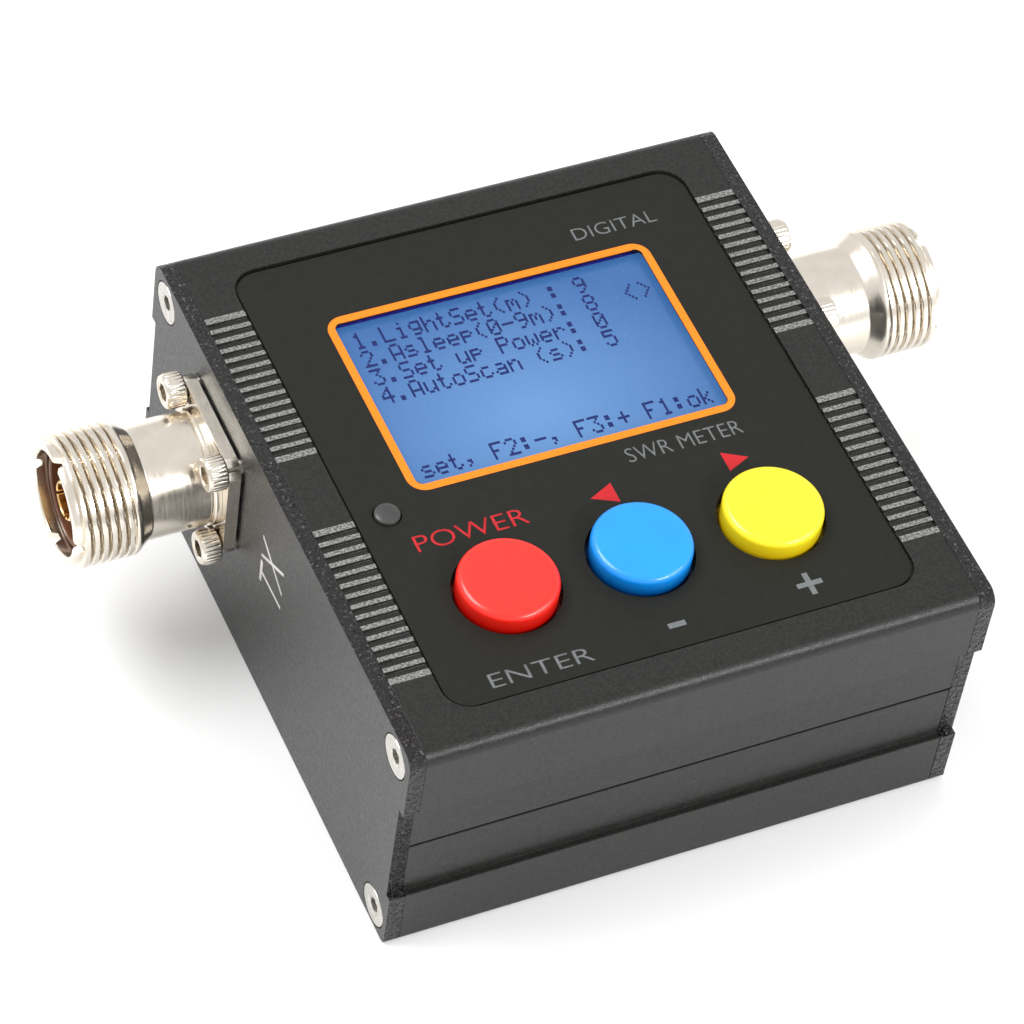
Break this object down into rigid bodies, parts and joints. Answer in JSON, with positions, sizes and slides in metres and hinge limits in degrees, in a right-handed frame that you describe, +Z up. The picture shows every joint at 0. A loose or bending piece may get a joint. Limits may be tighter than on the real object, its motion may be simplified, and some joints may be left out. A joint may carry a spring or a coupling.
{
  "type": "swr meter",
  "caption": "In-line SWR and power meter in a ribbed split aluminium case, with a UHF socket at each end, a blue display and push buttons.",
  "frame": {"origin": "middle of the case's underside", "axes": "+X from the TX socket to the ANT socket, +Z up through the display, -Y towards the push buttons"},
  "size_m": [0.1102, 0.076, 0.0363],
  "materials": {
    "case": "black anodised, drawn lines along the extrusion, sawn at the ends",
    "screw_steel": "machined",
    "nickel_plate": "nickel plate, turned",
    "insulator": "brown moulding",
    "gold_contact": "gold plate",
    "overlay_film": "fine-grained printed film",
    "window": "clear, glossy",
    "lcd": "lit blue liquid crystal",
    "button_red": "moulded, glossy",
    "button_blue": "moulded, glossy",
    "button_yellow": "moulded, glossy",
    "lamp_lens": "grey, unlit",
    "black_plastic": "moulded",
    "white_plastic": "moulded",
    "circuit_board": "green solder mask",
    "copper_line": "bare copper wire",
    "ferrite": "matt sintered",
    "brass_standoff": "turned",
    "battery_wrap": "foil pouch"
  },
  "bodies": {
    "root": {"upper_shell": "case", "lower_shell": "case", "tx_end_plate": "case", "tx_plate_screw_1": "screw_steel", "tx_plate_screw_2": "screw_steel", "tx_plate_screw_3": "screw_steel", "tx_plate_screw_4": "screw_steel", "ant_end_plate": "case", "ant_plate_screw_1": "screw_steel", "ant_plate_screw_2": "screw_steel", "ant_plate_screw_3": "screw_steel", "ant_plate_screw_4": "screw_steel", "tx_connector_shell": "nickel_plate", "tx_insulator": "insulator", "tx_contact": "gold_contact", "tx_connector_screw_1": "nickel_plate", "tx_connector_screw_2": "nickel_plate", "tx_connector_screw_3": "nickel_plate", "tx_connector_screw_4": "nickel_plate", "ant_connector_shell": "nickel_plate", "ant_insulator": "insulator", "ant_contact": "gold_contact", "ant_connector_screw_1": "nickel_plate", "ant_connector_screw_2": "nickel_plate", "ant_connector_screw_3": "nickel_plate", "ant_connector_screw_4": "nickel_plate", "panel_overlay": "overlay_film", "display_window": "window", "display_bezel": "black_plastic", "lcd_glass": "lcd", "lcd_backlight": "white_plastic", "enter_switch": "black_plastic", "minus_switch": "black_plastic", "plus_switch": "black_plastic", "status_lamp": "lamp_lens", "main_board": "circuit_board", "microcontroller": "black_plastic", "coupler_board": "circuit_board", "through_line": "copper_line", "current_toroid": "ferrite", "voltage_toroid": "ferrite", "coupler_standoff_1": "brass_standoff", "coupler_standoff_2": "brass_standoff", "coupler_standoff_3": "brass_standoff", "coupler_standoff_4": "brass_standoff", "coupler_screw_1": "screw_steel", "coupler_screw_2": "screw_steel", "coupler_screw_3": "screw_steel", "coupler_screw_4": "screw_steel", "battery": "battery_wrap", "charge_socket": "screw_steel"},
    "enter_button": {"enter_button_cap": "button_red", "enter_plunger": "white_plastic"},
    "minus_button": {"minus_button_cap": "button_blue", "minus_plunger": "white_plastic"},
    "plus_button": {"plus_button_cap": "button_yellow", "plus_plunger": "white_plastic"}
  },
  "joints": [
    {"name": "enter_press", "type": "slide", "parent": "root", "child": "enter_button", "axis": [0, 0, -1], "range_m": [0, 0.0003], "stiffness_N_per_m": 300, "springref_m": -0.001},
    {"name": "minus_press", "type": "slide", "parent": "root", "child": "minus_button", "axis": [0, 0, -1], "range_m": [0, 0.0003], "stiffness_N_per_m": 300, "springref_m": -0.001},
    {"name": "plus_press", "type": "slide", "parent": "root", "child": "plus_button", "axis": [0, 0, -1], "range_m": [0, 0.0003], "stiffness_N_per_m": 300, "springref_m": -0.001}
  ]
}
